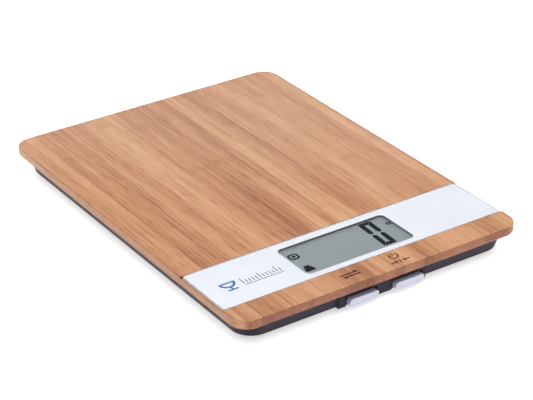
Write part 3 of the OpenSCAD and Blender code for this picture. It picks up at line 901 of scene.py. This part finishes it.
@dataclass
class DisplayStrip:
    """The clear strip over a white film with a window, and what is printed on the film."""

    window_width: float = 63.6
    window_length: float = 27.8
    window_radius: float = 3.0
    window_shift: float = 0.15
    corner_radius: float = 1.6
    outer_edge: float = 0.2
    under_gap: float = 0.02
    ink_depth: float = 0.012
    paint_depth: float = 0.03
    paint_stroke: float = 0.15
    scale_start: float = -60.4
    scale_pitch: float = 1.9
    scale_count: int = 12
    scale_base: float = -3.4
    scale_drop: float = 1.2
    scale_line: float = 0.5
    scale_long: float = 5.2
    scale_short: float = 3.2
    bowl_x: float = -67.6
    bowl_bars: tuple[tuple[float, ...], ...] = (
        (1.4, 8.8, 1.1, 0.45), (-3.6, 1.1, 2.4, 0.0), (-5.0, 6.0, 1.1, 0.45))

    def build(self) -> None:
        """Builds the film, its print and the clear strip over them."""
        self.film()
        self.prints()
        self.strip()

    def middle(self) -> Vector:
        """The middle of the film's upper face."""
        low, high = mm_box("window_film")
        return Vector(((low.x + high.x) / 2, (low.y + high.y) / 2, high.z - self.under_gap))

    def film(self) -> None:
        """Bridges the film's outline to its window and thickens it."""
        low, high = mm_box("window_film")
        middle = self.middle()
        piece = Workpiece()
        rim = piece.loop(high.x - low.x, high.y - low.y, self.corner_radius, middle, 10)
        window = piece.loop(self.window_width, self.window_length, self.window_radius,
                            middle - Vector((0, self.window_shift, 0)), 10)
        bridged = bmesh.ops.bridge_loops(piece.mesh, edges=rim + window)
        piece.raise_faces(bridged["faces"], (0, 0, low.z - middle.z))
        piece.deliver("white_film", STRIP_WHITE, "platform", "white_strip", ["window_film"])

    def strip(self) -> None:
        """Builds the clear strip, rounds its edges and paints its rim white from inside."""
        low, high = mm_box("clear_strip")
        middle = Vector(((low.x + high.x) / 2, (low.y + high.y) / 2, high.z))
        paint = Marks(low.z + self.paint_depth, high.z - self.outer_edge)
        paint.outline(middle.x, middle.y, high.x - low.x - 2 * self.paint_depth,
                      high.y - low.y - 2 * self.paint_depth, self.corner_radius, self.paint_stroke)
        paint.ink("strip_edge_paint", STRIP_WHITE, "white_strip")
        piece = Workpiece()
        rim = piece.loop(high.x - low.x, high.y - low.y, self.corner_radius, middle, 10)
        face = bmesh.ops.contextual_create(piece.mesh, geom=rim)["faces"]
        piece.raise_faces(face, (0, 0, low.z - high.z))
        piece.soften(self.outer_edge, 3, is_level, 60)
        piece.deliver("clear_display_strip", LENS, "platform", "clear_lens", ["clear_strip"])

    def prints(self) -> None:
        """Prints a plain bowl sign and a row of graduations on the film's left end."""
        middle = self.middle()
        layer = (middle.z + 0.002, middle.z + self.ink_depth)
        slate = Marks(*layer)
        line, base = self.scale_line, middle.y + self.scale_base
        width = (self.scale_count - 1) * self.scale_pitch
        for i in range(self.scale_count):
            tall = self.scale_long if i % 5 == 0 else self.scale_short
            slate.bar(self.scale_start + i * self.scale_pitch, base + tall / 2, line, tall)
        slate.bar(self.scale_start + width / 2, base - self.scale_drop, width + line, line)
        slate.ink("strip_graduations", STRIP_INK, "white_strip")
        blue = Marks(*layer)
        blue.arc(self.bowl_x, middle.y + 1.4, 3.7, 1.3, 180, 180)
        for y, across, along, rounding in self.bowl_bars:
            blue.bar(self.bowl_x, middle.y + y, across, along, rounding)
        blue.ink("strip_bowl_sign", STRIP_BLUE, "white_strip")


@dataclass
class Display:
    """The liquid crystal display under the lens, with what it shows."""

    stroke: float = 2.65
    left: float = 15.2
    right: float = 22.7
    bottom: float = -90.6
    top: float = -66.3
    lean: float = 0.047
    rounding: float = 0.32
    corner_gap: float = 0.1
    middle_gap: float = 0.2
    ink_gap: float = 0.005
    ink_depth: float = 0.04
    ring_place: tuple[float, float] = (-26.9, -74.0)
    weight_place: tuple[float, float] = (-27.0, -89.6)
    unit_place: tuple[float, float] = (30.0, -73.6)

    def build(self) -> None:
        """Builds both glasses and the dark marks on the front one."""
        Softened("lcd_front_glass", "display_front_glass", DISPLAY_FACE, 0.08, angle=30.0).build()
        Softened("lcd_rear_glass", "display_rear_glass", DISPLAY_BACK, 0.08, angle=30.0).build()
        self.marks()

    def marks(self) -> None:
        """Draws the nought of six segments and the three small signs."""
        face = mm_box("lcd_front_glass")[1].z
        marks = Marks(face + self.ink_gap, face + self.ink_gap + self.ink_depth)
        left, right, low, high = self.left, self.right, self.bottom, self.top
        stroke, gap = self.stroke, self.corner_gap
        waist = (low + high) / 2
        reach = waist + self.middle_gap
        sides = [[(left + gap, high), (right - gap, high),
                  (right - gap - stroke, high - stroke), (left + gap + stroke, high - stroke)]]
        for outer, inward in ((left, stroke), (right, -stroke)):
            sides.append([(outer, high - gap), (outer + inward, high - gap - stroke),
                          (outer + inward, reach + stroke / 2), (outer + inward / 2, reach),
                          (outer, reach + stroke / 2)])
        for points in sides:
            for flip in (False, True):
                drawn = [(x, 2 * waist - y if flip else y) for x, y in points]
                marks.shape([(x + (y - low) * self.lean, y) for x, y in drawn], self.rounding)
        marks.outline(*self.ring_place, 5.6, 5.4, 1.7, 1.1)
        marks.disc(*self.ring_place, 1.05)
        x, y = self.weight_place
        marks.shape([(x - 2.9, y), (x + 2.9, y), (x + 2.1, y + 3.7), (x - 2.1, y + 3.7)], 0.3)
        marks.bar(x, y + 4.4, 3.2, 2.0, 0.4)
        marks.outline(*self.unit_place, 2.6, 2.6, 0.8, 0.75)
        marks.ink("display_segments", SEGMENT_INK, "display_glass")


@dataclass
class BoardPrints:
    """The brown signs on the bamboo over the two buttons."""

    depth: float = 0.02
    mode_x: float = -15.8
    mode_y: float = -105.1
    power_x: float = 11.2
    power_y: float = -102.8
    zero_y: float = -108.4

    def build(self) -> None:
        """Draws a change-over sign, a power sign and a back-to-nought sign."""
        top = mm_box("bamboo_board")[1].z
        marks = Marks(top - self.depth - 0.01, top)
        for side in (-1, 1):
            y = self.mode_y + side * 1.05
            tip = self.mode_x + side * 5.6
            marks.bar(self.mode_x - side * 0.6, y, 9.2, 1.0)
            marks.shape([(tip, y - side * 0.5), (tip - side * 2.8, y + side * 1.9),
                         (tip - side * 2.8, y - side * 0.5)])
        marks.arc(self.power_x, self.power_y, 2.25, 0.72, 122, 296)
        marks.bar(self.power_x, self.power_y + 1.5, 0.72, 2.6)
        for side in (-1, 1):
            tip = self.power_x + side * 1.1
            marks.bar(self.power_x + side * 3.9, self.zero_y, 3.2, 0.8)
            marks.shape([(tip, self.zero_y), (tip + side * 1.9, self.zero_y + side * 1.2),
                         (tip + side * 1.9, self.zero_y - side * 1.2)])
        marks.bar(self.power_x, self.zero_y, 0.72, 3.0)
        marks.ink("board_signs", WOOD_INK, "bamboo")


@dataclass
class Buttons:
    """The two push buttons."""

    face_depth: float = 1.2
    face_edge: float = 0.28
    back_edge: float = 0.12

    def build(self) -> None:
        """Rounds each button's face strongly and the rest a little."""
        for name in KEYS:
            node = f"{name}_button"
            piece = Workpiece.from_node(node)
            reach = mm_box(node)[0].y + self.face_depth

            def on_face(edge: BMEdge) -> bool:
                """True for the edges round the button's face."""
                return all(v.co.y < reach for v in edge.verts) and any(
                    f.normal.y < -0.7 for f in edge.link_faces)

            piece.soften(self.face_edge, 5, on_face, 25)
            piece.soften(self.back_edge, 2, lambda e: all(v.co.y > reach for v in e.verts), 40)
            piece.deliver(f"{name}_key_cap", BUTTON_SILVER, body_of(node), slot_of(node), [node])


@dataclass
class Softened:
    """A piece that keeps its CAD shape and gets soft edges and its finish."""

    node: str
    name: str
    finish: Finish
    edge: float = 0.12
    steps: int = 2
    angle: float = 32.0
    clamp: bool = True
    test: Optional[EdgeTest] = None

    def build(self) -> None:
        """Builds the piece."""
        piece = Workpiece.from_node(self.node)
        if self.edge:
            piece.soften(self.edge, self.steps, self.test, self.angle, self.clamp)
        piece.deliver(self.name, self.finish, body_of(self.node), slot_of(self.node), [self.node])


def outside_tray(edge: BMEdge) -> bool:
    """True for the tray's edges that show from outside: its underside and its front block."""
    ends = [v.co for v in edge.verts]
    return all(c.z < UNDERSIDE for c in ends) or all(
        c.y < BLOCK_BACK and abs(c.x) < BLOCK_REACH for c in ends)


class Tray:
    """The dark tray, its battery door, screws, feet and what it holds."""

    def __init__(self) -> None:
        """Lists the pieces."""
        self.pieces = [
            Softened("base_shell", "tray_shell", TRAY_PLASTIC, 0.18, 2, 35, False, outside_tray),
            Softened("battery_door", "battery_cover", DOOR_PLASTIC, 0.14),
            Softened("housing_screws", "tray_screws", SCREW_STEEL, 0.2, 2, 50),
            Softened("control_board_screws", "board_screws", SCREW_STEEL, 0.12, 2, 50),
            Softened("lcd_frame", "display_frame", INNER_PLASTIC, 0.1),
            Softened("zebra_strip", "rubber_contact_strip", CONTACT_RUBBER, 0.15),
            Softened("control_board", "circuit_board_plate", CIRCUIT, 0.08),
            Softened("controller_chip", "controller_package", CHIP_PLASTIC, 0.05),
            Softened("filter_capacitors", "capacitor_cans", CAN_METAL, 0.25, 3, 50),
            *(Softened(f"{key}_switch", f"{key}_switch_case", CHIP_PLASTIC, 0.1) for key in KEYS),
            *(Softened(f"{key}_plunger", f"{key}_switch_plunger", INNER_PLASTIC, 0.1)
              for key in KEYS),
            Softened("coin_cell", "coin_cell_can", CAN_METAL, 0.22, 3, 50),
            *(Softened(f"battery_contact_{pole}", f"{pole}_contact_leaf", CONTACT_PLATE, 0.06)
              for pole in ("negative", "positive")),
            Softened("battery_wires", "battery_leads", WIRE_RED, 0.0),
            Softened("load_cell_clips", "plate_clips", INNER_PLASTIC, 0.12),
            Softened("strain_gauges", "gauge_foils", CIRCUIT, 0.06),
        ]
        for corner in (f"{end}_{side}" for end in ("front", "back") for side in ("left", "right")):
            self.pieces += [
                Softened(f"load_cell_{corner}", f"bending_plate_{corner}", PLATE_STEEL, 0.12),
                Softened(f"sensor_wires_{corner}", f"gauge_leads_{corner}", WIRE_RED, 0.0),
                Softened(f"foot_cup_{corner}", f"foot_holder_{corner}", TRAY_PLASTIC, 0.25, 3, 50),
                Softened(f"foot_pad_{corner}", f"rubber_foot_{corner}", FOOT_RUBBER, 0.3, 4, 50),
            ]

    def build(self) -> None:
        """Builds each piece in turn."""
        for piece in self.pieces:
            piece.build()


@dataclass
class Studio:
    """The camera, the floor and the lamps.

    The lens and its sensor are in millimetres, other lengths in metres, angles in degrees.
    """

    lens: float = 128.62
    sensor: float = 36.0
    bearing: float = -33.042
    height: float = 28.29
    roll: float = -1.108
    distance: float = 0.96106
    target: tuple[float, float, float] = (-0.007163, -0.020864, 0.017)
    sky_rise: tuple[float, float] = (0.45, 0.8)
    sky_low: float = 0.09
    sky_high: float = 1.25
    floor_glow: float = 0.6
    paper_low: Colour = (0.92, 0.92, 0.92, 1.0)
    paper_high: Colour = (0.95, 0.95, 0.95, 1.0)

    def build(self) -> None:
        """Sets up everything that isn't part of the scale."""
        self.camera()
        self.floor()
        self.lamps()
        bpy.context.scene.view_settings.view_transform = "Standard"

    def camera(self) -> None:
        """Puts the camera at its bearing and height."""
        bearing, height = math.radians(self.bearing), math.radians(self.height)
        back = Vector((math.sin(bearing) * math.cos(height),
                       -math.cos(bearing) * math.cos(height), math.sin(height)))
        data = bpy.data.cameras.new("camera")
        data.lens, data.sensor_width, data.clip_start = self.lens, self.sensor, 0.01
        camera = linked("camera", data)
        turn = back.to_track_quat("Z", "Y").to_matrix().to_4x4() @ Matrix.Rotation(
            math.radians(self.roll), 4, "Z")
        camera.matrix_world = Matrix.Translation(Vector(self.target) + back * self.distance) @ turn
        bpy.context.scene.camera = camera

    def floor(self) -> None:
        """Lays a plain pale floor that gives off a little light of its own."""
        mesh = bmesh.new()
        bmesh.ops.create_grid(mesh, x_segments=1, y_segments=1, size=4.0)
        data = bpy.data.meshes.new("studio_floor")
        mesh.to_mesh(data)
        mesh.free()
        sheet = Sheet("studio_paper")
        tone = sheet.noise(sheet.place(), 0.01, 2.0)
        sheet.surface(base_color=sheet.ramp(tone, (0.3, self.paper_low), (0.7, self.paper_high)),
                      roughness=0.9, specular_ior_level=0.1,
                      emission_color=(1.0, 1.0, 1.0, 1.0), emission_strength=self.floor_glow)
        data.materials.append(sheet.material)
        linked("studio_floor", data)

    def lamp(self, name: str, place: Sequence[float], size: float, power: float) -> None:
        """Hangs a square soft lamp that faces the scale.

        Args:
            name: The lamp's name.
            place: Where it hangs, in metres.
            size: The length of its side, in metres.
            power: Its power in watts.
        """
        data = bpy.data.lights.new(name, "AREA")
        data.shape, data.size, data.energy = "SQUARE", size, power
        lamp = linked(name, data)
        lamp.location = place
        lamp.rotation_euler = Vector(place).to_track_quat("Z", "Y").to_euler()

    def lamps(self) -> None:
        """Lights the scale from a sky that is brighter higher up, and from three lamps."""
        world = bpy.data.worlds.new("studio_sky")
        world.use_nodes = True
        tree = world.node_tree
        sky = tree.nodes["Background"]
        sky.inputs[0].default_value = (1.0, 1.0, 1.0, 1.0)
        way = tree.nodes.new("ShaderNodeTexCoord")
        upright = tree.nodes.new("ShaderNodeSeparateXYZ")
        rise = tree.nodes.new("ShaderNodeMapRange")
        rise.interpolation_type = "SMOOTHSTEP"
        limits = (*self.sky_rise, self.sky_low, self.sky_high)
        for socket, number in zip(list(rise.inputs)[1:5], limits):
            socket.default_value = number
        tree.links.new(way.outputs["Generated"], upright.inputs[0])
        tree.links.new(upright.outputs["Z"], rise.inputs[0])
        tree.links.new(rise.outputs[0], sky.inputs[1])
        bpy.context.scene.world = world
        self.lamp("key_lamp", (-0.7, 0.9, 1.7), 1.8, 9.0)
        self.lamp("front_lamp", (0.2, -1.5, 1.3), 2.0, 7.0)
        self.lamp("top_lamp", (0.1, 0.0, 2.0), 2.4, 36.0)


def main() -> None:
    """Builds the scale's sub-assemblies in order."""
    logging.basicConfig(level=logging.INFO, format="%(name)s: %(message)s")
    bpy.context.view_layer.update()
    Studio().build()
    for assembly in (WeighingBoard(), DisplayStrip(), Display(), BoardPrints(), Buttons(), Tray()):
        LOG.info("building %s", type(assembly).__name__)
        assembly.build()


if __name__ == "__main__":
    main()
